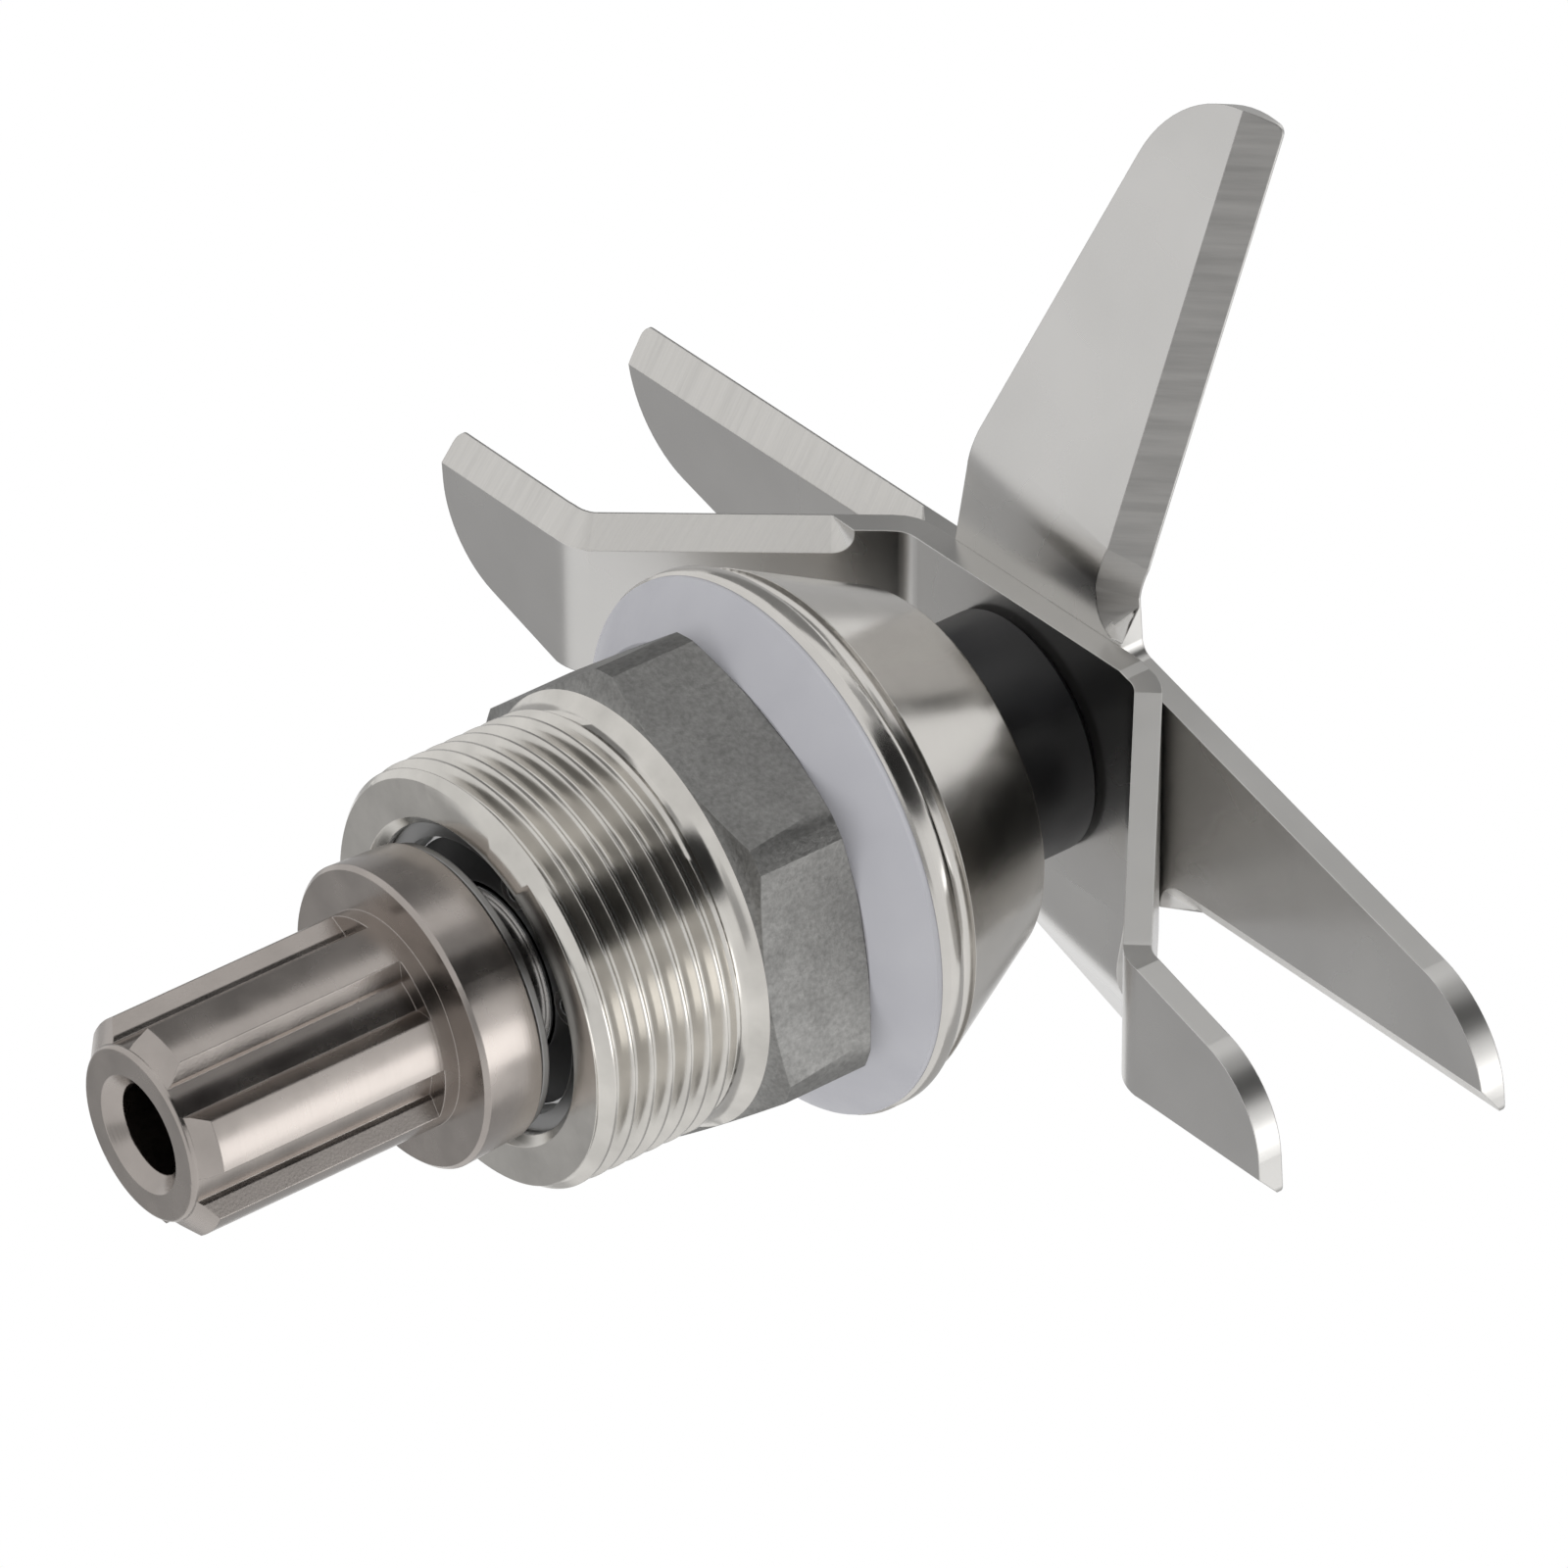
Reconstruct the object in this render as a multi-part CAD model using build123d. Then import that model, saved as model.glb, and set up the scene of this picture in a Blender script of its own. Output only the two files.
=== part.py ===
from build123d import *
import os
from math import cos, degrees, pi, radians, sin

os.makedirs("parts", exist_ok=True)

# Blade assembly of a blender jar: a splined drive hub, a shaft on two ball bearings in a
# threaded housing, and two stacked blade plates with six ground wings.
# Millimetres. Z is the shaft axis, with the drive end down and the blades up.
# The origin is on the axis, at the flange face that seats on the gasket.

# Housing, outside
thread_r = 15.0
thread_length = 11.4
end_chamfer = 0.65
housing_drop = 24.4
relief_r = 14.5
relief_length = 0.6
hex_flats = 31.0
hex_corner_r = 17.4
hex_height = 8.0
hex_azimuth = 2.5
hex_bevel = 0.7
neck_r = 14.8
cone_base_r = 18.35
rim_step = 0.95
flange_r = cone_base_r + rim_step
rim_height = 1.15
rim_round = 0.9
groove_width = 1.3
groove_depth = 0.6
cone_top_r = 13.4
cone_height = 13.05
cone_round = 0.9

# Gasket, a dished ring between the flange and the hexagon
gasket_slack = 0.2
gasket_crown = 0.7
gasket_edge_t = 0.45
gasket_inset = 0.2

# Bearings, 8 by 22 by 7 mm, with seven balls each
shaft_r = 4.0
bearing_r = 11.0
bearing_width = 7.0
ball_count = 7
ball_share = 0.2836
shoulder_share = 0.293
shield_seat_share = 0.2286
cage_share = 0.107
race_play = 0.06
ring_chamfer = 0.3
shield_t = 0.25
shield_sink = 0.3
shield_gap = 0.15
cage_floor = 0.55
cage_rise = 0.9
pocket_play = 0.06

# Bearing seats
lower_bearing_inset = 2.2
upper_bearing_top = 7.8
clip_t = 1.0
clip_depth = 0.5
clip_width = 1.6
clip_gap_angle = 36.0
clip_eye_r = 1.25
clip_hole_r = 0.6
clip_play = 0.1
spacer_wall = 1.3
spacer_play = 0.05
bush_r = 5.6

# Shaft seal
web_t = 1.2
web_hole_r = 6.7
seal_pocket_r = 9.5
seal_recess = 0.4
seal_wall = 1.0
seal_floor = 0.9
lip_play = 0.05
lip_t = 0.7
spring_coil_r = 0.45

# Rubber collar under the blades
collar_rubber_r = 8.7
collar_rubber_lift = 0.35
collar_rubber_round = 0.5

# Drive hub
collar_lift = 1.4
collar_t = 4.85
collar_front_r = 10.72
collar_back_r = 10.5
collar_edge = 0.3
spline_length = 20.0
spline_count = 6
spline_tip_r = 7.65
spline_root_r = 6.2
spline_tip_half = 1.75
spline_root_half = 2.15
spline_azimuth = 22.3
spline_bevel = 1.45
core_round = 0.4
runout_height = 1.15
hub_hole_r = 3.2
hub_hole_chamfer = 1.0
hub_socket_depth = 12.0

# Washer behind the collar
drive_washer_r = 10.2
drive_washer_t = 0.5

# Blade plates
blade_height = 21.25
plate_t = 1.85
edge_land = 0.15
upper_azimuth = 218.5
upper_half = 9.2
wing_reach = 46.1
raised_extra = 0.9
wing_trail_root = -9.0
wing_trail_rise = 0.29
wing_bevel = 2.45
wing_bevel_start = 14.6
raised_bevel_start = 12.4
tip_round = 8.0
lead_round = 0.7
root_round = 1.2
raised_tip_slant = 1.2
raised_fold_at = 15.0
raised_fold_angle = 26.0
far_fold_angle = 32.0
far_short = 3.0
raised_fold_r = 5.0
raised_skew = 11.8

lower_azimuth = 218.5
lower_half = 10.0
lower_fold_at = 11.4
lower_fold_r = 2.2
lower_skew = 5.0
lower_slope = 40.0
lower_drop = 15.3
lower_lead_knee = 8.7
lower_trail_root = -10.0
lower_trail_knee = -3.6
lower_tip_short = 33.65
lower_tip_trail = 0.3
lower_bevel = 1.9
lower_bevel_start = 15.5
lower_tip_round = 7.0

# Shaft top, washer and low nut
flat_half = 3.3
flat_play = 0.05
shaft_neck_r = 3.0
shaft_stand = 0.4
shaft_chamfer = 0.5
top_washer_r = 6.5
top_washer_t = 0.8
washer_edge = 0.2
washer_play = 0.1
nut_flats = 10.0
nut_height = 2.8
nut_bevel = 0.4

# Levels worked out from the sizes above
housing_end = -housing_drop
thread_top = housing_end + thread_length
hex_bottom = thread_top + relief_length + (hex_flats / 2 - relief_r)
hex_top = hex_bottom + hex_height
lower_bearing_bottom = housing_end + lower_bearing_inset
lower_bearing_top = lower_bearing_bottom + bearing_width
upper_bearing_bottom = upper_bearing_top - bearing_width
web_top = upper_bearing_top + web_t
collar_back = housing_end - collar_lift
collar_front = collar_back - collar_t
hub_end = collar_front - spline_length
drive_washer_top = collar_back + drive_washer_t
socket_end = collar_back - hub_socket_depth
upper_plate_bottom = blade_height + plate_t
upper_plate_top = upper_plate_bottom + plate_t
nut_bottom = upper_plate_top + top_washer_t
nut_top = nut_bottom + nut_height
shaft_top = nut_top + shaft_stand

# Radii inside the bearings, as shares of the space between shaft and housing
ring_space = bearing_r - shaft_r
ball_pitch_r = (bearing_r + shaft_r) / 2
ball_r = ball_share * ring_space
race_r = ball_r + race_play
inner_shoulder_r = shaft_r + shoulder_share * ring_space
outer_shoulder_r = bearing_r - shoulder_share * ring_space
shield_seat_r = bearing_r - shield_seat_share * ring_space
cage_inner_r = ball_pitch_r - cage_share * ring_space
cage_outer_r = ball_pitch_r + cage_share * ring_space


def turned(points):
    """A solid turned about Z from a closed profile of (radius, height) points."""
    return revolve(make_face(Plane.XZ * Polyline(points, close=True)), Axis.Z)


def tube(inner_r, outer_r, bottom, top):
    """A plain ring between two radii and two heights."""
    return turned([(inner_r, bottom), (outer_r, bottom), (outer_r, top), (inner_r, top)])


def rounded_tube(inner_r, outer_r, bottom, top, edge):
    """A ring with its two outer edges broken."""
    profile = [
        (inner_r, bottom),
        (outer_r - edge, bottom),
        (outer_r, bottom + edge),
        (outer_r, top - edge),
        (outer_r - edge, top),
        (inner_r, top),
    ]
    return turned(profile)


def hexagon(flats, corner_r, bottom, top, bevel, azimuth):
    """A hexagonal bar with a corner at the given azimuth and its corners turned back at both ends."""
    prism = extrude(Pos(0, 0, bottom) * RegularPolygon(flats / 2, 6, major_radius=False), top - bottom)
    blank = turned(
        [
            (0, bottom),
            (flats / 2, bottom),
            (corner_r, bottom + bevel),
            (corner_r, top - bevel),
            (flats / 2, top),
            (0, top),
        ]
    )
    return Rot(0, 0, azimuth) * (prism & blank)


def housing_outside():
    """The turned outside of the housing: thread, hexagon, neck, flange and cone."""
    cone_bottom = rim_height + rim_round + groove_width
    groove_r = cone_base_r - groove_depth
    line = Polyline(
        (0, housing_end),
        (thread_r - end_chamfer, housing_end),
        (thread_r, housing_end + end_chamfer),
        (thread_r, thread_top - end_chamfer),
        (relief_r, thread_top),
        (relief_r, thread_top + relief_length),
        (hex_flats / 2, hex_bottom),
        (neck_r, hex_bottom),
        (neck_r, 0),
        (flange_r, 0),
        (flange_r, rim_height),
    )
    shoulder = RadiusArc((flange_r, rim_height), (flange_r - rim_round, rim_height + rim_round), -rim_round)
    groove = ThreePointArc(
        (flange_r - rim_round, rim_height + rim_round),
        (groove_r, rim_height + rim_round + groove_width / 2),
        (cone_base_r, cone_bottom),
    )
    cone = Polyline((cone_base_r, cone_bottom), (cone_top_r, cone_height), (0, cone_height), (0, housing_end))
    body = revolve(make_face(Plane.XZ * (line + shoulder + groove + cone)), Axis.Z)
    rim = body.edges().filter_by(GeomType.CIRCLE).group_by(Axis.Z)[-1]
    body = fillet(rim, cone_round)
    return body + hexagon(hex_flats, hex_corner_r, hex_bottom, hex_top, hex_bevel, hex_azimuth)


def make_housing():
    """The housing with its bearing bore, clip groove and seal pocket."""
    body = housing_outside()
    body -= tube(0, bearing_r, housing_end, upper_bearing_top)
    body -= turned(
        [
            (0, housing_end),
            (bearing_r + end_chamfer, housing_end),
            (bearing_r, housing_end + end_chamfer),
            (0, housing_end + end_chamfer),
        ]
    )
    body -= tube(0, bearing_r + clip_depth, lower_bearing_bottom - clip_t - clip_play, lower_bearing_bottom)
    body -= tube(0, web_hole_r, upper_bearing_top, web_top)
    body -= tube(0, seal_pocket_r, web_top, cone_height)
    return body


def make_outer_ring(bottom):
    """Bearing outer ring with its ball race and a seat for a shield at each end."""
    top = bottom + bearing_width
    seat = shield_sink + shield_t
    profile = [
        (outer_shoulder_r, bottom + seat),
        (shield_seat_r, bottom + seat),
        (shield_seat_r, bottom),
        (bearing_r - ring_chamfer, bottom),
        (bearing_r, bottom + ring_chamfer),
        (bearing_r, top - ring_chamfer),
        (bearing_r - ring_chamfer, top),
        (shield_seat_r, top),
        (shield_seat_r, top - seat),
        (outer_shoulder_r, top - seat),
    ]
    return turned(profile) - ball_race(bottom)


def make_inner_ring(bottom):
    """Bearing inner ring with its ball race."""
    top = bottom + bearing_width
    profile = [
        (shaft_r + ring_chamfer, bottom),
        (inner_shoulder_r, bottom),
        (inner_shoulder_r, top),
        (shaft_r + ring_chamfer, top),
        (shaft_r, top - ring_chamfer),
        (shaft_r, bottom + ring_chamfer),
    ]
    return turned(profile) - ball_race(bottom)


def ball_race(bottom):
    """The ring of space that the balls run in."""
    return Pos(0, 0, bottom + bearing_width / 2) * Torus(ball_pitch_r, race_r)


def around(solid, count):
    """Copies of a solid, evenly spaced about Z."""
    return [Rot(0, 0, 360 * i / count) * solid for i in range(count)]


def make_balls(bottom):
    """The balls of one bearing."""
    ball = Pos(ball_pitch_r, 0, bottom + bearing_width / 2) * Sphere(ball_r)
    return Compound(children=around(ball, ball_count))


def make_cage(bottom):
    """A crown cage: a ring under the balls, with open pockets between its fingers."""
    middle = bottom + bearing_width / 2
    ring = tube(cage_inner_r, cage_outer_r, middle - ball_r - cage_floor, middle + cage_rise)
    pocket = Pos(ball_pitch_r, 0, middle) * Sphere(ball_r + pocket_play)
    for hole in around(pocket, ball_count):
        ring -= hole
    return ring


def make_shields(bottom):
    """The two thin discs that close a bearing."""
    inner_r = inner_shoulder_r + shield_gap
    levels = (bottom + shield_sink, bottom + bearing_width - shield_sink - shield_t)
    return Compound(children=[tube(inner_r, shield_seat_r, level, level + shield_t) for level in levels])


def make_clip():
    """The spring ring that holds the lower bearing, with its gap and two eyes."""
    outer_r = bearing_r + clip_depth - clip_play
    low = lower_bearing_bottom - clip_t
    ring = tube(outer_r - clip_width, outer_r, low, lower_bearing_bottom)
    far_x = 2 * outer_r * cos(radians(clip_gap_angle / 2))
    far_y = 2 * outer_r * sin(radians(clip_gap_angle / 2))
    gap = make_face(Polyline((0, 0), (far_x, -far_y), (far_x, far_y), close=True))
    ring -= extrude(Pos(0, 0, low) * gap, clip_t)
    eye_at = bearing_r - clip_play - clip_eye_r
    eye_turn = clip_gap_angle / 2 + degrees(clip_eye_r / eye_at)
    for side in (-1, 1):
        place = Rot(0, 0, side * eye_turn) * Pos(eye_at, 0, low)
        ring += place * tube(0, clip_eye_r, 0, clip_t)
        ring -= place * tube(0, clip_hole_r, 0, clip_t)
    return ring


def make_shaft_seal():
    """The static seal in the housing's top pocket, with a lip on the rotating bush."""
    top = cone_height - seal_recess
    lip_r = bush_r + lip_play
    lip_back = lip_r + lip_t
    floor_top = web_top + seal_floor
    lip_top = top - spring_coil_r
    profile = [
        (lip_back, web_top),
        (seal_pocket_r, web_top),
        (seal_pocket_r, top),
        (seal_pocket_r - seal_wall, top),
        (seal_pocket_r - seal_wall, floor_top),
        (lip_back, floor_top),
        (lip_back, lip_top),
        (lip_r + lip_t / 2, lip_top),
        (lip_r, lip_top - lip_t),
        (lip_r + lip_t / 2, floor_top),
    ]
    return turned(profile)


def make_seal_spring():
    """The garter spring behind the seal's lip, as one closed coil ring."""
    ring_r = bush_r + lip_play + lip_t + spring_coil_r
    height = cone_height - seal_recess - 2 * spring_coil_r - lip_t / 2
    return Pos(0, 0, height) * Torus(ring_r, spring_coil_r)


def make_rubber_collar():
    """The black rubber collar that turns with the blades."""
    bottom = cone_height + collar_rubber_lift
    return rounded_tube(bush_r, collar_rubber_r, bottom, blade_height, collar_rubber_round)


def make_gasket():
    """The white gasket: thick against the hexagon, thin at its edge under the flange."""
    inner_r = neck_r + gasket_slack
    outer_r = flange_r - gasket_inset
    return turned(
        [
            (inner_r, 0),
            (inner_r, hex_top),
            (inner_r + gasket_crown, hex_top),
            (outer_r, -gasket_edge_t),
            (outer_r, 0),
        ]
    )


def make_tooth():
    """One tapered drive tooth, bevelled towards the hub's end."""
    section = make_face(Polyline(
        (hub_hole_r, -spline_root_half),
        (spline_root_r, -spline_root_half),
        (spline_tip_r, -spline_tip_half),
        (spline_tip_r, spline_tip_half),
        (spline_root_r, spline_root_half),
        (hub_hole_r, spline_root_half),
        close=True,
    ))
    blank = turned(
        [
            (0, hub_end + core_round),
            (spline_root_r, hub_end + core_round),
            (spline_tip_r, hub_end + spline_bevel),
            (spline_tip_r, collar_front),
            (0, collar_front),
        ]
    )
    return extrude(Pos(0, 0, hub_end) * section, spline_length) & blank


def make_drive_hub():
    """The splined drive hub with its collar, end hole and shaft socket."""
    core = tube(0, spline_root_r, hub_end, collar_front)
    end_edge = core.edges().filter_by(GeomType.CIRCLE).group_by(Axis.Z)[0]
    core = fillet(end_edge, core_round)
    runout = tube(0, spline_tip_r, collar_front - runout_height, collar_front)
    collar = turned(
        [
            (0, collar_front),
            (collar_front_r - collar_edge, collar_front),
            (collar_front_r, collar_front + collar_edge),
            (collar_back_r, collar_back - collar_edge),
            (collar_back_r - collar_edge, collar_back),
            (0, collar_back),
        ]
    )
    hub = core + runout + collar
    for tooth in around(make_tooth(), spline_count):
        hub += Rot(0, 0, spline_azimuth) * tooth
    hub -= tube(0, hub_hole_r, hub_end, collar_back)
    hub -= turned(
        [
            (0, hub_end),
            (hub_hole_r + hub_hole_chamfer, hub_end),
            (hub_hole_r, hub_end + hub_hole_chamfer),
            (0, hub_end + hub_hole_chamfer),
        ]
    )
    return hub - tube(0, shaft_r, socket_end, collar_back)


def flats_cut(radius, half, bottom, top):
    """A round bar with two flats, as the blades' holes and the shaft's top have."""
    bar = tube(0, radius, bottom, top)
    slab = Pos(0, 0, (bottom + top) / 2) * Box(2 * half, 2 * radius, top - bottom)
    return Rot(0, 0, upper_azimuth) * (bar & slab)


def make_shaft():
    """The shaft, with two flats through the blade plates and a thinner top for the nut."""
    round_part = turned(
        [
            (0, socket_end),
            (shaft_r - shaft_chamfer, socket_end),
            (shaft_r, socket_end + shaft_chamfer),
            (shaft_r, blade_height),
            (0, blade_height),
        ]
    )
    top_part = turned(
        [
            (0, upper_plate_top),
            (shaft_neck_r, upper_plate_top),
            (shaft_neck_r, shaft_top - shaft_chamfer),
            (shaft_neck_r - shaft_chamfer, shaft_top),
            (0, shaft_top),
        ]
    )
    return round_part + flats_cut(shaft_r, flat_half, blade_height, upper_plate_top) + top_part


def make_nut():
    """The low nut that clamps the blades."""
    corner_r = nut_flats / 2 / cos(pi / 6)
    nut = hexagon(nut_flats, corner_r, nut_bottom, nut_top, nut_bevel, upper_azimuth)
    return nut - tube(0, shaft_neck_r, nut_bottom, nut_top)


def bevel(start, end, width):
    """The space ground away under a leading edge, with a round run-out at its start."""
    depth = plate_t - edge_land
    run = Vector(*end) - Vector(*start)
    spare = 1.0
    section = make_face(Polyline(
        (-width * (1 + spare), -depth * spare),
        (spare, depth * (1 + spare / width)),
        (spare, -depth * spare),
        close=True,
    ))
    plane = Plane(origin=(start[0], start[1], 0), x_dir=(-run.Y, run.X, 0), z_dir=(run.X, run.Y, 0))
    wedge = extrude(plane * section, run.length)
    runout = revolve(
        make_face(Plane.XZ * Polyline(
            (0, -depth * spare),
            (width * (1 + spare), -depth * spare),
            (0, depth),
            close=True,
        )),
        Axis.Z,
    )
    return wedge, Pos(start[0], start[1], 0) * runout


def fold(wing, distance, angle, radius, skew):
    """Bend a flat wing up (or down, with a negative angle) at a skewed line across it.
    The underside lies on Z = 0 where the wing is split."""
    flat = Rot(0, 0, -skew) * wing
    at = distance * cos(radians(skew))
    half = Plane(origin=(at, 0, 0), z_dir=(1, 0, 0))
    inner = split(flat, bisect_by=half, keep=Keep.BOTTOM)
    outer = split(flat, bisect_by=half, keep=Keep.TOP)
    height = plate_t + radius if angle > 0 else -radius
    axis = Axis((at, 0, height), (0, -1, 0) if angle > 0 else (0, 1, 0))
    section = inner.faces().sort_by(Axis.X)[-1]
    arc = revolve(section, axis, revolution_arc=abs(angle))
    outer = outer.rotate(axis, abs(angle))
    return Rot(0, 0, skew) * (inner + arc + outer)


def upper_wing(reach, ground_from, tip_slant):
    """One flat wing of the upper plate, along X, with its leading edge ground."""
    tip_trail = wing_trail_root + wing_trail_rise * (reach - upper_half)
    outline = make_face(Polyline(
        (0, upper_half),
        (reach, upper_half),
        (reach + tip_slant, tip_trail),
        (upper_half, wing_trail_root),
        (upper_half, wing_trail_root - root_round),
        (0, wing_trail_root - root_round),
        close=True,
    ))
    outline = fillet(outline.vertices().sort_by_distance((upper_half, wing_trail_root))[0], root_round)
    ends = outline.vertices().sort_by(Axis.X)[-2:].sort_by(Axis.Y)
    outline = fillet(ends[0], tip_round)
    lead_corner = outline.vertices().sort_by(Axis.X)[-2:].sort_by(Axis.Y)[-1]
    outline = fillet(lead_corner, lead_round)
    wing = extrude(outline, plate_t)
    for cutter in bevel((ground_from, upper_half), (reach + wing_bevel, upper_half), wing_bevel):
        wing -= cutter
    return wing


def hub_hole():
    """The hole with two flats that fits the shaft's top."""
    return flats_cut(shaft_r + flat_play, flat_half + flat_play, 0, plate_t)


def make_upper_blade():
    """The upper plate: two flat wings and two folded up."""
    bend_r = raised_fold_r + plate_t / 2
    raised_reach = wing_reach + raised_extra - radians(raised_fold_angle) * bend_r
    far_reach = wing_reach - far_short - radians(far_fold_angle) * bend_r
    flat = upper_wing(wing_reach, wing_bevel_start, 0)
    raised = upper_wing(raised_reach, raised_bevel_start, raised_tip_slant)
    far = upper_wing(far_reach, raised_bevel_start, raised_tip_slant)
    wings = [
        flat,
        fold(raised, raised_fold_at, raised_fold_angle, raised_fold_r, raised_skew),
        flat,
        fold(far, raised_fold_at, far_fold_angle, raised_fold_r, raised_skew),
    ]
    plate = extrude(Rectangle(2 * upper_half, 2 * upper_half), plate_t)
    for i, wing in enumerate(wings):
        plate += Rot(0, 0, upper_azimuth + 90 * i) * wing
    return Pos(0, 0, upper_plate_bottom) * (plate - hub_hole())


def lower_wing():
    """One wing of the lower plate: down a slope, then level to its tip."""
    mid_r = lower_fold_r + plate_t / 2
    slope = radians(lower_slope)
    slope_length = (lower_drop - 2 * mid_r * (1 - cos(slope))) / sin(slope)
    knee = lower_fold_at + slope_length
    reach = knee + wing_reach - lower_tip_short
    outline = make_face(Polyline(
        (0, lower_half),
        (lower_fold_at, lower_half),
        (knee, lower_lead_knee),
        (reach, lower_lead_knee),
        (reach, lower_tip_trail),
        (knee, lower_trail_knee),
        (lower_fold_at, lower_trail_root),
        (0, lower_trail_root),
        close=True,
    ))
    ends = outline.vertices().sort_by(Axis.X)[-2:].sort_by(Axis.Y)
    outline = fillet(ends[0], lower_tip_round)
    lead_corner = outline.vertices().sort_by(Axis.X)[-2:].sort_by(Axis.Y)[-1]
    outline = fillet(lead_corner, lead_round)
    wing = extrude(outline, plate_t)
    lead_slope = (lower_lead_knee - lower_half) / slope_length
    start = (lower_bevel_start, lower_half + lead_slope * (lower_bevel_start - lower_fold_at))
    for cutter in bevel(start, (knee, lower_lead_knee), lower_bevel):
        wing -= cutter
    for cutter in bevel((knee, lower_lead_knee), (reach + lower_bevel, lower_lead_knee), lower_bevel):
        wing -= cutter
    wing = fold(wing, knee, lower_slope, lower_fold_r, lower_skew)
    return fold(wing, lower_fold_at, -lower_slope, lower_fold_r, lower_skew)


def make_lower_blade():
    """The lower plate: a flat middle and two wings that step down."""
    wing = lower_wing()
    plate = Rot(0, 0, lower_azimuth) * wing + Rot(0, 0, lower_azimuth + 180) * wing
    return Pos(0, 0, blade_height) * (plate - hub_hole())


# The pieces, by node
pieces = {
    "bearing_housing": make_housing(),
    "gasket": make_gasket(),
    "outer_spacer": tube(
        bearing_r - spacer_play - spacer_wall, bearing_r - spacer_play, lower_bearing_top, upper_bearing_bottom
    ),
    "retaining_ring": make_clip(),
    "shaft_seal": make_shaft_seal(),
    "seal_spring": make_seal_spring(),
    "drive_hub": make_drive_hub(),
    "drive_washer": tube(shaft_r, drive_washer_r, collar_back, drive_washer_top),
    "lower_spacer": tube(shaft_r, bush_r, drive_washer_top, lower_bearing_bottom),
    "inner_spacer": tube(shaft_r, bush_r, lower_bearing_top, upper_bearing_bottom),
    "seal_bush": tube(shaft_r, bush_r, upper_bearing_top, blade_height),
    "rubber_collar": make_rubber_collar(),
    "shaft": make_shaft(),
    "lower_blade": make_lower_blade(),
    "upper_blade": make_upper_blade(),
    "blade_washer": rounded_tube(
        shaft_neck_r + washer_play, top_washer_r, upper_plate_top, nut_bottom, washer_edge
    ),
    "lock_nut": make_nut(),
}
for name, bottom in (("lower_bearing", lower_bearing_bottom), ("upper_bearing", upper_bearing_bottom)):
    pieces[name + "_outer_ring"] = make_outer_ring(bottom)
    pieces[name + "_inner_ring"] = make_inner_ring(bottom)
    pieces[name + "_balls"] = make_balls(bottom)
    pieces[name + "_cage"] = make_cage(bottom)
    pieces[name + "_shields"] = make_shields(bottom)

for node, shape in pieces.items():
    export_step(shape, "parts/" + node + ".step")
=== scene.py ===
import math

import bmesh
import bpy
from mathutils import Matrix, Vector


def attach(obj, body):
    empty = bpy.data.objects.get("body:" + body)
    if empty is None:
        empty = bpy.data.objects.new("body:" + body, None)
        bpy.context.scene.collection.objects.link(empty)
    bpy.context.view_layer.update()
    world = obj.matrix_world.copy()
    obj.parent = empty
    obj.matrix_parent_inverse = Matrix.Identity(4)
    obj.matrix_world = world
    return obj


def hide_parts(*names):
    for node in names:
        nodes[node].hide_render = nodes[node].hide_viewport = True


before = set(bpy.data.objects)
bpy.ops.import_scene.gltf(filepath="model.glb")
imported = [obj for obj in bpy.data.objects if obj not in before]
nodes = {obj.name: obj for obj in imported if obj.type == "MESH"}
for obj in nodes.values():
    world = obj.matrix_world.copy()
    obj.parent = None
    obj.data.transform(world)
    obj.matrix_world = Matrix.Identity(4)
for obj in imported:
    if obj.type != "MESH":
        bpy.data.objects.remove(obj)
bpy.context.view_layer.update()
MM = 0.001

# Thread on the housing, in millimetres, as in the CAD source
THREAD_BOTTOM = -24.4
THREAD_TOP = -13.0
THREAD_R = 15.0
THREAD_CHAMFER = 0.65
THREAD_END_R = 14.35
RELIEF_R = 14.5
PITCH = 1.5
THREAD_DEPTH = 0.92
THREAD_COLUMNS = 180
THREAD_PROFILE = (  # height within one pitch, share of the depth
    (-0.094, 0.0), (0.094, 0.0), (0.36, 0.5), (0.60, 0.94), (0.68, 1.0),
    (0.75, 1.0), (0.82, 1.0), (0.90, 0.94), (1.14, 0.5),
)
HEX_BOTTOM = -11.4
HEX_TOP = -3.4
PLATE_AZIMUTH = 218.5
SLACK = 0.01
SHARP_ANGLE = 25

# Studio, in metres and in shares of full white
CARD_DISTANCE = 0.55
LAMP_DISTANCE = 1.3
FLOOR_HEIGHT = -0.62
FLOOR_SIZE = 8.0
FLOOR_SHADE = 0.85
FLOOR_GLOW = 0.85
WORLD_PLAIN = 0.8


# Shader helpers


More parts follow.
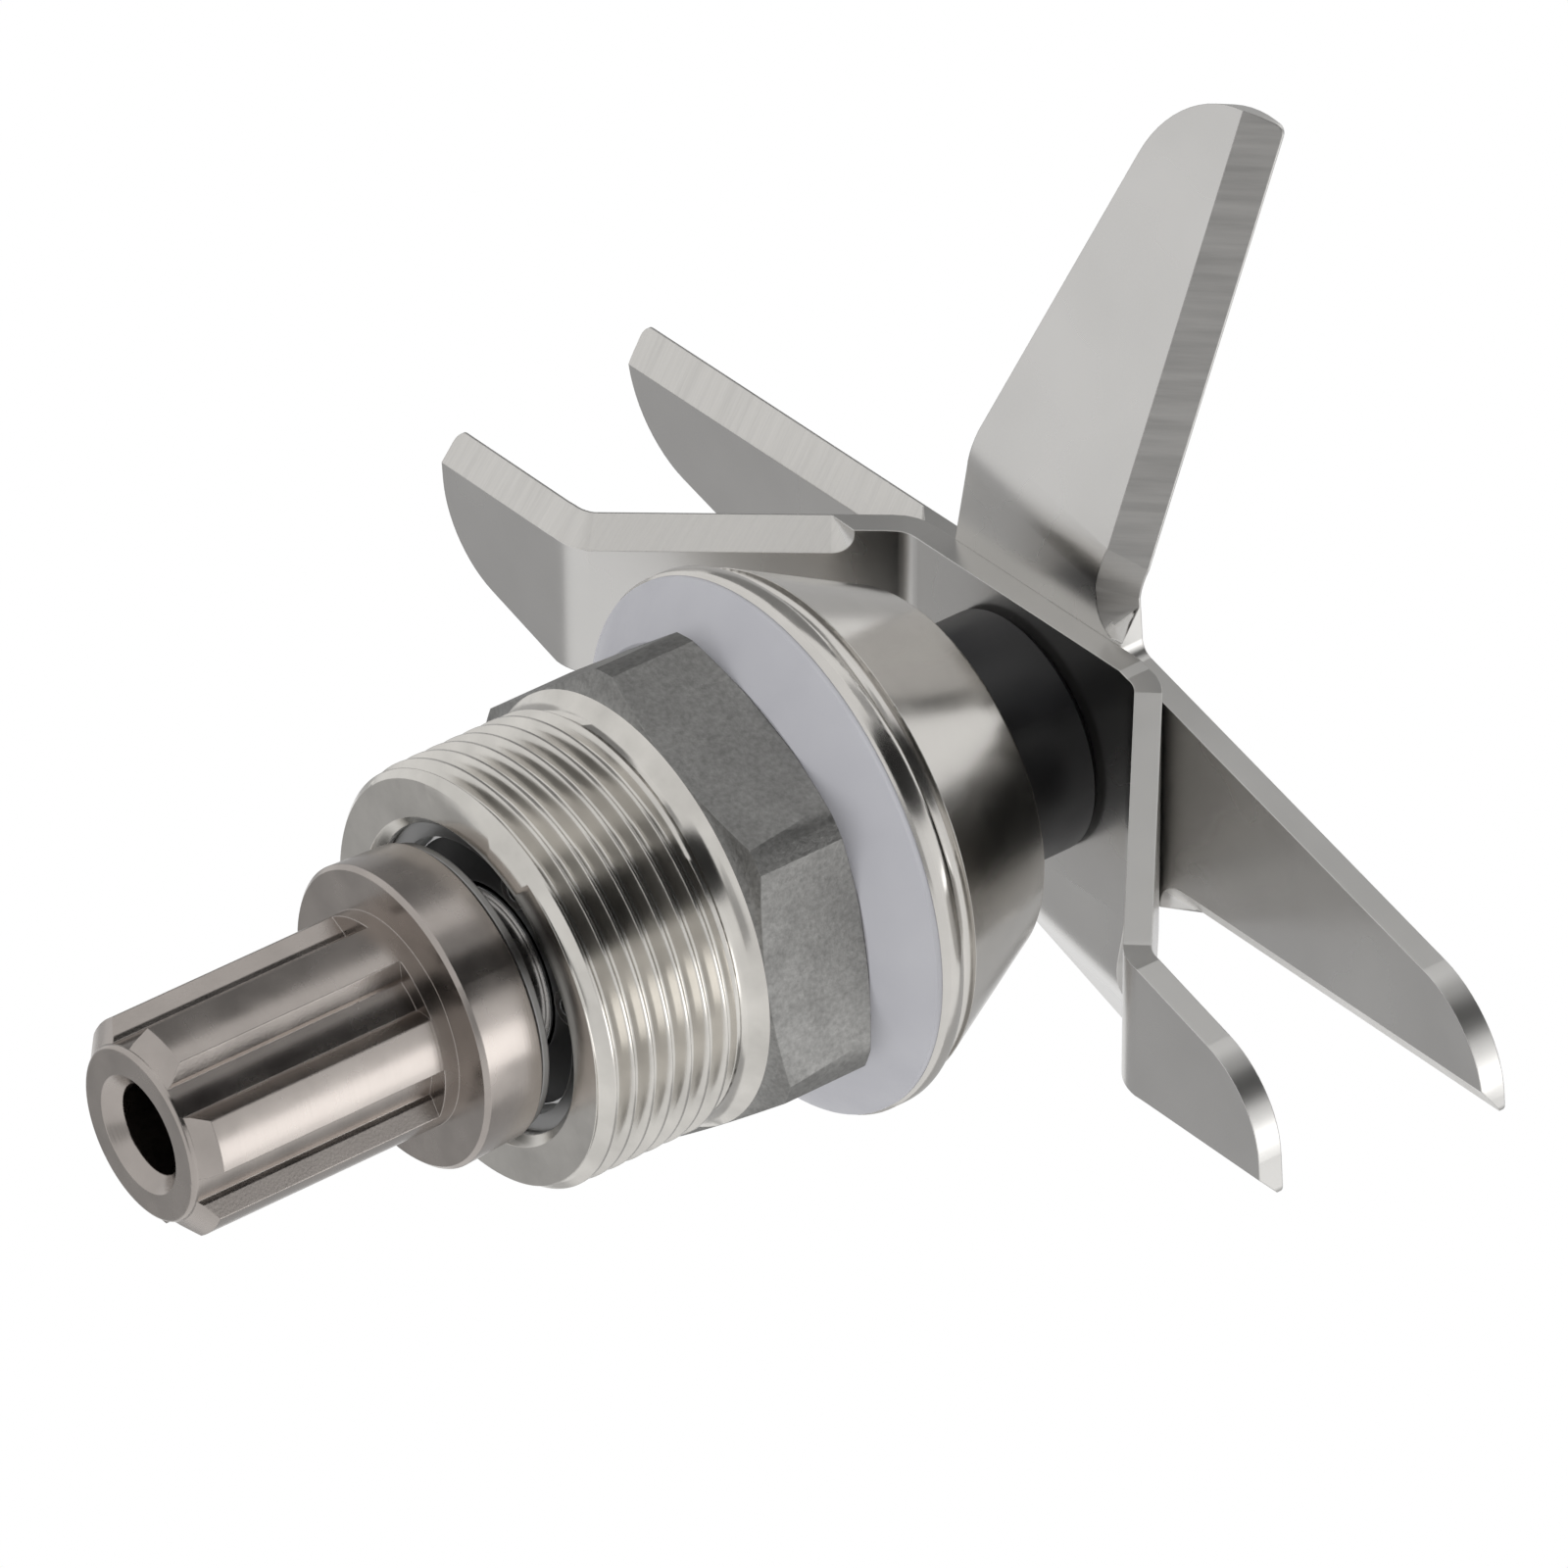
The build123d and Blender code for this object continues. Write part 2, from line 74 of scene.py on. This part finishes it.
class Shader:
    """A node tree being built, with short calls for the nodes that the materials share."""

    def __init__(self, name):
        self.material = bpy.data.materials.new(name)
        self.material.use_nodes = True
        self.tree = self.material.node_tree
        self.surface = self.tree.nodes["Principled BSDF"]
        self.point = self.add("ShaderNodeTexCoord").outputs["Object"]

    def add(self, kind, **inputs):
        node = self.tree.nodes.new(kind)
        for key, value in inputs.items():
            self.put(node.inputs[key.replace("_", " ")], value)
        return node

    def put(self, socket, value):
        if isinstance(value, bpy.types.NodeSocket):
            self.tree.links.new(value, socket)
        else:
            socket.default_value = value

    def stretch(self, point, scale):
        node = self.tree.nodes.new("ShaderNodeVectorMath")
        node.operation = "MULTIPLY"
        self.put(node.inputs[0], point)
        node.inputs[1].default_value = scale
        return node.outputs[0]

    def turned(self, azimuth):
        """The point in a frame turned about the shaft axis."""
        node = self.add("ShaderNodeMapping", Vector=self.point)
        node.inputs["Rotation"].default_value = (0, 0, -math.radians(azimuth))
        return node.outputs[0]

    def lathe(self):
        """(radius, height, 0), so that a pattern of it runs round the axis."""
        parts = self.add("ShaderNodeSeparateXYZ", Vector=self.point)
        flat = self.add("ShaderNodeCombineXYZ", X=parts.outputs["X"], Y=parts.outputs["Y"])
        length = self.tree.nodes.new("ShaderNodeVectorMath")
        length.operation = "LENGTH"
        self.put(length.inputs[0], flat.outputs[0])
        joined = self.add("ShaderNodeCombineXYZ", X=length.outputs["Value"], Y=parts.outputs["Z"])
        return joined.outputs[0]

    def noise(self, point, scale, detail=3.0, rough=0.5):
        node = self.add("ShaderNodeTexNoise", Vector=point, Scale=scale, Detail=detail, Roughness=rough)
        return node.outputs["Fac"]

    def ramp(self, factor, stops):
        node = self.add("ShaderNodeValToRGB", Fac=factor)
        ramp = node.color_ramp
        while len(ramp.elements) < len(stops):
            ramp.elements.new(0.5)
        for element, (position, colour) in zip(ramp.elements, stops):
            element.position = position
            element.color = (*colour, 1) if len(colour) == 3 else colour
        return node.outputs["Color"]

    def spread(self, factor, low, high):
        node = self.add("ShaderNodeMapRange", Value=factor, To_Min=low, To_Max=high)
        node.inputs["From Min"].default_value = 0.3
        node.inputs["From Max"].default_value = 0.7
        return node.outputs[0]

    def bump(self, height, strength, distance, edge=0.00012):
        """A bumped normal over edges that catch the light as broken ones do."""
        rounded = self.add("ShaderNodeBevel", Radius=edge)
        rounded.samples = 6
        node = self.add("ShaderNodeBump", Height=height, Strength=strength, Distance=distance)
        self.put(node.inputs["Normal"], rounded.outputs[0])
        return node.outputs[0]

    def done(self, colour, roughness, normal=None, **plain):
        self.put(self.surface.inputs["Base Color"], colour)
        self.put(self.surface.inputs["Roughness"], roughness)
        if normal is not None:
            self.put(self.surface.inputs["Normal"], normal)
        for key, value in plain.items():
            self.surface.inputs[key.replace("_", " ")].default_value = value
        return self.material


def shade(colour, factor):
    return tuple(channel * factor for channel in colour)


def turned_metal(name, colour, rough, marks=0.25, mottle=0.12):
    """Metal finished on a lathe: fine rings round the axis over a faint mottle."""
    s = Shader(name)
    rings = s.noise(s.lathe(), 5200.0, 2.0)
    patches = s.noise(s.point, 260.0, 4.0)
    tone = s.ramp(patches, [(0.3, shade(colour, 1 - mottle)), (0.7, shade(colour, 1 + mottle))])
    normal = s.bump(rings, marks, 0.00002)
    return s.done(tone, s.spread(patches, rough * 0.85, rough * 1.2), normal, Metallic=1.0)


def cast_metal(name, colour, rough):
    """Metal as cast and shot-blasted: a coarse grain of small pits."""
    s = Shader(name)
    grains = s.noise(s.point, 2600.0, 4.0, 0.6)
    patches = s.noise(s.point, 420.0, 3.0)
    tone = s.ramp(grains, [(0.3, shade(colour, 0.8)), (0.7, shade(colour, 1.15))])
    normal = s.bump(grains, 0.4, 0.0001)
    return s.done(tone, s.spread(patches, rough * 0.9, rough * 1.15), normal, Metallic=1.0)


def sheet_metal(name, colour, rough, azimuth):
    """Satin sheet with faint rolling marks along one direction."""
    s = Shader(name)
    along = s.turned(azimuth)
    marks = s.noise(s.stretch(along, (0.06, 1.0, 1.0)), 5200.0, 3.0)
    cloud = s.noise(s.point, 90.0, 3.0)
    tone = s.ramp(cloud, [(0.3, shade(colour, 0.94)), (0.7, shade(colour, 1.05))])
    normal = s.bump(marks, 0.12, 0.00001)
    return s.done(tone, s.spread(cloud, rough * 0.9, rough * 1.15), normal, Metallic=1.0)


def ground_edge(name, colour, rough, azimuth):
    """A ground bevel, with grinding marks straight across the edge."""
    s = Shader(name)
    along = s.turned(azimuth)
    marks = s.noise(s.stretch(along, (1.0, 0.05, 0.05)), 1700.0, 4.0, 0.65)
    tone = s.ramp(marks, [(0.3, shade(colour, 0.88)), (0.68, shade(colour, 1.1))])
    normal = s.bump(marks, 0.22, 0.00005)
    return s.done(tone, s.spread(marks, rough * 0.8, rough * 1.25), normal, Metallic=1.0)


def gasket_rubber(name):
    s = Shader(name)
    grain = s.noise(s.point, 1500.0, 4.0)
    cloud = s.noise(s.point, 140.0, 2.0)
    tone = s.ramp(cloud, [(0.3, (0.60, 0.60, 0.645)), (0.7, (0.66, 0.66, 0.70))])
    return s.done(tone, s.spread(grain, 0.5, 0.65), s.bump(grain, 0.15, 0.00003))


def black_rubber(name):
    s = Shader(name)
    grain = s.noise(s.point, 2200.0, 3.0)
    cloud = s.noise(s.point, 200.0, 2.0)
    tone = s.ramp(cloud, [(0.3, (0.010, 0.010, 0.011)), (0.7, (0.018, 0.018, 0.021))])
    return s.done(tone, s.spread(cloud, 0.34, 0.46), s.bump(grain, 0.12, 0.00002))


# Geometry helpers


def place(name, mesh, body):
    obj = bpy.data.objects.new(name, mesh)
    bpy.context.scene.collection.objects.link(obj)
    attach(obj, body)
    return obj


def soft_shade(mesh, degrees):
    mesh.shade_smooth()
    mesh.set_sharp_from_angle(angle=math.radians(degrees))


def welded(node):
    """A copy of a CAD node's mesh as one closed skin, its coincident vertices welded."""
    bm = bmesh.new()
    bm.from_mesh(nodes[node].data)
    bmesh.ops.remove_doubles(bm, verts=bm.verts, dist=1e-7)
    return bm


def radius(point):
    return math.hypot(point.x, point.y) / MM


def height(point):
    return point.z / MM


def azimuth_of(vertex):
    return math.atan2(vertex.co.y, vertex.co.x)


def stitch(bm, low, high):
    """Joins two rings of vertices about the axis, of any counts, with triangles."""
    low = sorted(low, key=azimuth_of)
    high = sorted(high, key=azimuth_of)
    i = j = 0
    while i < len(low) or j < len(high):
        a, b = low[i % len(low)], high[j % len(high)]
        if j >= len(high) or (i < len(low) and turn_to(low, i + 1) <= turn_to(high, j + 1)):
            i += 1
            bm.faces.new((a, low[i % len(low)], b))
        else:
            j += 1
            bm.faces.new((a, high[j % len(high)], b))


def turn_to(ring, index):
    """Azimuth of a ring's vertex by index, going on past a full turn."""
    return azimuth_of(ring[index % len(ring)]) + 2 * math.pi * (index // len(ring))


def depth_share(at):
    """How deep the thread is at a height within its pitch, from 0 at a crest to 1 at a root."""
    first = THREAD_PROFILE[0][0]
    at = (at - first) % PITCH + first
    stops = THREAD_PROFILE + ((first + PITCH, 0.0),)
    for (low, low_share), (high, high_share) in zip(stops, stops[1:]):
        if at <= high:
            return low_share + (high_share - low_share) * (at - low) / (high - low)
    return 0.0


def thread_radius(z, share):
    """Radius of the thread at a height, cut back by the chamfer at each end."""
    from_bottom = THREAD_END_R + (z - THREAD_BOTTOM)
    top_slope = (THREAD_R - RELIEF_R) / THREAD_CHAMFER
    from_top = RELIEF_R + (THREAD_TOP - z) * top_slope
    return min(THREAD_R - THREAD_DEPTH * share, from_bottom, from_top)


def thread_skin(bm, low, high):
    """The helical thread between two rings of the housing's own vertices."""
    turns = math.ceil((THREAD_TOP - THREAD_BOTTOM) / PITCH) + 2
    rows = [k * PITCH + at for k in range(-1, turns) for at, share in THREAD_PROFILE]
    step = len(THREAD_PROFILE)
    grid = []
    for column in range(THREAD_COLUMNS):
        angle = 2 * math.pi * column / THREAD_COLUMNS - math.pi + 1e-4
        rise = PITCH * column / THREAD_COLUMNS
        line = []
        for at in rows:
            z = min(max(THREAD_BOTTOM + at + rise, THREAD_BOTTOM), THREAD_TOP)
            r = thread_radius(z, depth_share(z - THREAD_BOTTOM - rise))
            line.append(bm.verts.new((r * MM * math.cos(angle), r * MM * math.sin(angle), z * MM)))
        grid.append(line)
    for column in range(THREAD_COLUMNS):
        last = column == THREAD_COLUMNS - 1
        shift = step if last else 0
        here, there = grid[column], grid[(column + 1) % THREAD_COLUMNS]
        for k in range(len(rows) - 1 - shift):
            bm.faces.new((here[k], there[k + shift], there[k + 1 + shift], here[k + 1]))
    made = [v for line in grid for v in line]
    bmesh.ops.remove_doubles(bm, verts=made, dist=1e-8)
    ends = [v for v in made if v.is_valid and v.is_boundary]
    middle = (THREAD_TOP + THREAD_BOTTOM) / 2
    stitch(bm, low, [v for v in ends if height(v.co) < middle])
    stitch(bm, high, [v for v in ends if height(v.co) > middle])


def dress_housing():
    """The housing with its thread cut: the plain cylinder and its end give way to a helix."""
    bm = welded("bearing_housing")

    def in_thread(face):
        around = all(radius(v.co) > THREAD_END_R - SLACK and height(v.co) < THREAD_TOP + SLACK for v in face.verts)
        return around or all(abs(height(v.co) - THREAD_BOTTOM) < SLACK for v in face.verts)

    gone = [f for f in bm.faces if in_thread(f)]
    bmesh.ops.delete(bm, geom=gone, context="FACES")
    edge = {v for e in bm.edges if e.is_boundary for v in e.verts}
    low = [v for v in edge if abs(height(v.co) - THREAD_BOTTOM) < SLACK]
    high = [v for v in edge if abs(height(v.co) - THREAD_TOP) < SLACK]
    thread_skin(bm, low, high)
    bmesh.ops.recalc_face_normals(bm, faces=bm.faces)
    for face in bm.faces:
        z = height(face.calc_center_median())
        face.material_index = 0 if z < HEX_BOTTOM - SLACK else 1 if z < HEX_TOP + SLACK else 2
    mesh = bpy.data.meshes.new("threaded_housing")
    bm.to_mesh(mesh)
    bm.free()
    soft_shade(mesh, SHARP_ANGLE)
    return mesh


def paint_blade(node):
    """Gives a blade plate's ground bevels and cut edges their own materials; the bevels of every other wing get a
    darker copy, painted shade.
    """
    mesh = nodes[node].data
    mesh.materials.clear()
    for material in (SHEET, EDGE, BEVEL_ALONG, BEVEL_ACROSS_SHADED):
        mesh.materials.append(material)
    for polygon in mesh.polygons:
        middle, normal = polygon.center, polygon.normal
        sector = round((math.degrees(math.atan2(middle.y, middle.x)) - PLATE_AZIMUTH) / 90)
        lead = math.radians(PLATE_AZIMUTH + 90 * sector + 90)
        aside = normal.x * math.cos(lead) + normal.y * math.sin(lead)
        if normal.z < -0.5 and aside > 0.4:
            # Every other wing's bevels take the darker copy of the ground steel: painted shade.
            polygon.material_index = 2 + sector % 2
        elif abs(normal.z) < 0.6:
            polygon.material_index = 1


# Materials

HUB = turned_metal("drive_steel", (0.40, 0.365, 0.34), 0.25, 0.25)
BRIGHT = turned_metal("thread_steel", (0.60, 0.58, 0.545), 0.18, 0.15)
CAST = cast_metal("cast_steel", (0.30, 0.297, 0.288), 0.45)
POLISHED = turned_metal("polished_steel", (0.62, 0.60, 0.57), 0.2, 0.15, 0.05)
TURNED = turned_metal("turned_steel", (0.58, 0.56, 0.54), 0.25)
SPRING = turned_metal("spring_steel", (0.40, 0.40, 0.40), 0.35)
BALL = turned_metal("ball_steel", (0.70, 0.70, 0.70), 0.1, 0.05)
SHEET = sheet_metal("blade_sheet", (0.61, 0.60, 0.585), 0.26, PLATE_AZIMUTH)
EDGE = sheet_metal("blade_edge", (0.66, 0.65, 0.63), 0.34, PLATE_AZIMUTH)
BEVEL_ALONG = ground_edge("bevel_along", (0.66, 0.645, 0.62), 0.36, PLATE_AZIMUTH)
# The same ground steel as bevel_along with marks turned a quarter, painted darker: painted shade on the other
# wings' bevels.
BEVEL_ACROSS_SHADED = ground_edge("bevel_across_painted_shade", (0.50, 0.49, 0.475), 0.38, PLATE_AZIMUTH + 90)
GASKET = gasket_rubber("white_silicone")
RUBBER = black_rubber("black_rubber")

NODE_MATERIALS = {
    "gasket": GASKET, "shaft_seal": RUBBER, "rubber_collar": RUBBER, "drive_hub": HUB,
    "drive_washer": SPRING, "retaining_ring": SPRING, "seal_spring": SPRING,
    "outer_spacer": TURNED, "lower_spacer": TURNED, "inner_spacer": TURNED, "seal_bush": TURNED,
    "shaft": TURNED, "blade_washer": TURNED, "lock_nut": TURNED,
}
for bearing in ("lower_bearing", "upper_bearing"):
    for part in ("outer_ring", "inner_ring", "balls"):
        NODE_MATERIALS[bearing + "_" + part] = BALL
    NODE_MATERIALS[bearing + "_cage"] = SPRING
    NODE_MATERIALS[bearing + "_shields"] = RUBBER
for node, material in NODE_MATERIALS.items():
    nodes[node].data.materials.clear()
    nodes[node].data.materials.append(material)
for node in ("lower_blade", "upper_blade"):
    paint_blade(node)

housing = place("threaded_housing", dress_housing(), "housing")
for material in (BRIGHT, CAST, POLISHED):
    housing.data.materials.append(material)
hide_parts("bearing_housing")

# Studio


def direction(azimuth, elevation):
    a, e = math.radians(azimuth), math.radians(elevation)
    return Vector((math.cos(e) * math.cos(a), math.cos(e) * math.sin(a), math.sin(e)))


def facing(obj, azimuth, elevation, distance):
    way = direction(azimuth, elevation)
    obj.location = way * distance
    obj.rotation_euler = way.to_track_quat("Z", "Y").to_euler()


def card(name, azimuth, elevation, width, tall, level):
    """A plain card that only reflections see, as in product photography."""
    bm = bmesh.new()
    bmesh.ops.create_grid(bm, x_segments=1, y_segments=1, size=0.5)
    mesh = bpy.data.meshes.new(name)
    bm.to_mesh(mesh)
    bm.free()
    obj = bpy.data.objects.new(name, mesh)
    bpy.context.scene.collection.objects.link(obj)
    facing(obj, azimuth, elevation, CARD_DISTANCE)
    across, up = (2 * CARD_DISTANCE * math.tan(math.radians(angle / 2)) for angle in (width, tall))
    obj.scale = (across, up, 1)
    material = bpy.data.materials.new(name)
    material.use_nodes = True
    tree = material.node_tree
    tree.nodes.clear()
    glow = tree.nodes.new("ShaderNodeEmission")
    glow.inputs["Color"].default_value = (level, level, level, 1)
    out = tree.nodes.new("ShaderNodeOutputMaterial")
    tree.links.new(glow.outputs[0], out.inputs["Surface"])
    mesh.materials.append(material)
    obj.visible_camera = False
    obj.visible_diffuse = False
    obj.visible_shadow = False
    obj.visible_transmission = False


def lamp(name, azimuth, elevation, size, power):
    data = bpy.data.lights.new(name, "AREA")
    data.shape = "SQUARE"
    data.size = size
    data.energy = power
    obj = bpy.data.objects.new(name, data)
    bpy.context.scene.collection.objects.link(obj)
    facing(obj, azimuth, elevation, LAMP_DISTANCE)


def seen_rays(tree):
    """1 for rays from the camera and for those that metal and glass send on."""
    path = tree.nodes.new("ShaderNodeLightPath")
    total = path.outputs["Is Camera Ray"]
    for name in ("Is Glossy Ray", "Is Transmission Ray"):
        either = tree.nodes.new("ShaderNodeMath")
        either.operation = "MAXIMUM"
        tree.links.new(total, either.inputs[0])
        tree.links.new(path.outputs[name], either.inputs[1])
        total = either.outputs[0]
    return total


def make_world():
    """White to the camera and in reflections, and a plain soft light to the rest."""
    world = bpy.data.worlds.new("studio")
    bpy.context.scene.world = world
    world.use_nodes = True
    tree = world.node_tree
    tree.nodes.clear()
    level = tree.nodes.new("ShaderNodeMapRange")
    level.inputs["To Min"].default_value = WORLD_PLAIN
    level.inputs["To Max"].default_value = 1.0
    tree.links.new(seen_rays(tree), level.inputs["Value"])
    background = tree.nodes.new("ShaderNodeBackground")
    tree.links.new(level.outputs[0], background.inputs["Strength"])
    background.inputs["Color"].default_value = (1, 1, 1, 1)
    out = tree.nodes.new("ShaderNodeOutputWorld")
    tree.links.new(background.outputs[0], out.inputs["Surface"])


def make_floor():
    """A pale floor that takes the object's shadow and looks white."""
    bm = bmesh.new()
    bmesh.ops.create_grid(bm, x_segments=1, y_segments=1, size=FLOOR_SIZE)
    mesh = bpy.data.meshes.new("floor")
    bm.to_mesh(mesh)
    bm.free()
    obj = bpy.data.objects.new("floor", mesh)
    obj.location = (0, 0, FLOOR_HEIGHT)
    bpy.context.scene.collection.objects.link(obj)
    s = Shader("floor")
    material = s.done((FLOOR_SHADE, FLOOR_SHADE, FLOOR_SHADE, 1), 0.8)
    tree = s.tree
    glow = tree.nodes.new("ShaderNodeEmission")
    share = tree.nodes.new("ShaderNodeMath")
    share.operation = "MULTIPLY"
    tree.links.new(seen_rays(tree), share.inputs[0])
    share.inputs[1].default_value = FLOOR_GLOW
    mix = tree.nodes.new("ShaderNodeMixShader")
    tree.links.new(share.outputs[0], mix.inputs["Fac"])
    tree.links.new(s.surface.outputs[0], mix.inputs[1])
    tree.links.new(glow.outputs[0], mix.inputs[2])
    tree.links.new(mix.outputs[0], tree.nodes["Material Output"].inputs["Surface"])
    mesh.materials.append(material)


make_world()
make_floor()
lamp("key", 53, 30, 0.55, 1.5)
card("front_flag", -4, 0, 38, 140, 0.03)
card("front_left_grey", -33, 28, 14, 50, 0.4)
card("left_flag", -96, 30, 56, 56, 0.27)
card("left_far_grey", -146, 28, 40, 56, 0.5)
card("right_far_grey", 130, 28, 60, 56, 0.5)
card("top_flag", 85, 72, 36, 24, 0.04)
card("far_low_grey", 180, -24, 48, 44, 0.48)
card("low_front_grey", 30, -56, 26, 26, 0.45)

# Camera, from the photograph's perspective

camera_data = bpy.data.cameras.new("camera")
camera_data.sensor_width = 36.0
camera_data.lens = 321.267
camera = bpy.data.objects.new("camera", camera_data)
bpy.context.scene.collection.objects.link(camera)
right = Vector((0.43429245, 0.41775258, 0.79804314))
down = Vector((-0.1996859, 0.90856083, -0.366937))
ahead = Vector((-0.87835961, 0.0, 0.47800041))
turn = Matrix((right, -down, -ahead)).transposed().to_4x4()
camera.matrix_world = Matrix.Translation((0.81404830, -0.00316787, -0.43989970)) @ turn
bpy.context.scene.camera = camera
bpy.context.scene.view_settings.view_transform = "Standard"
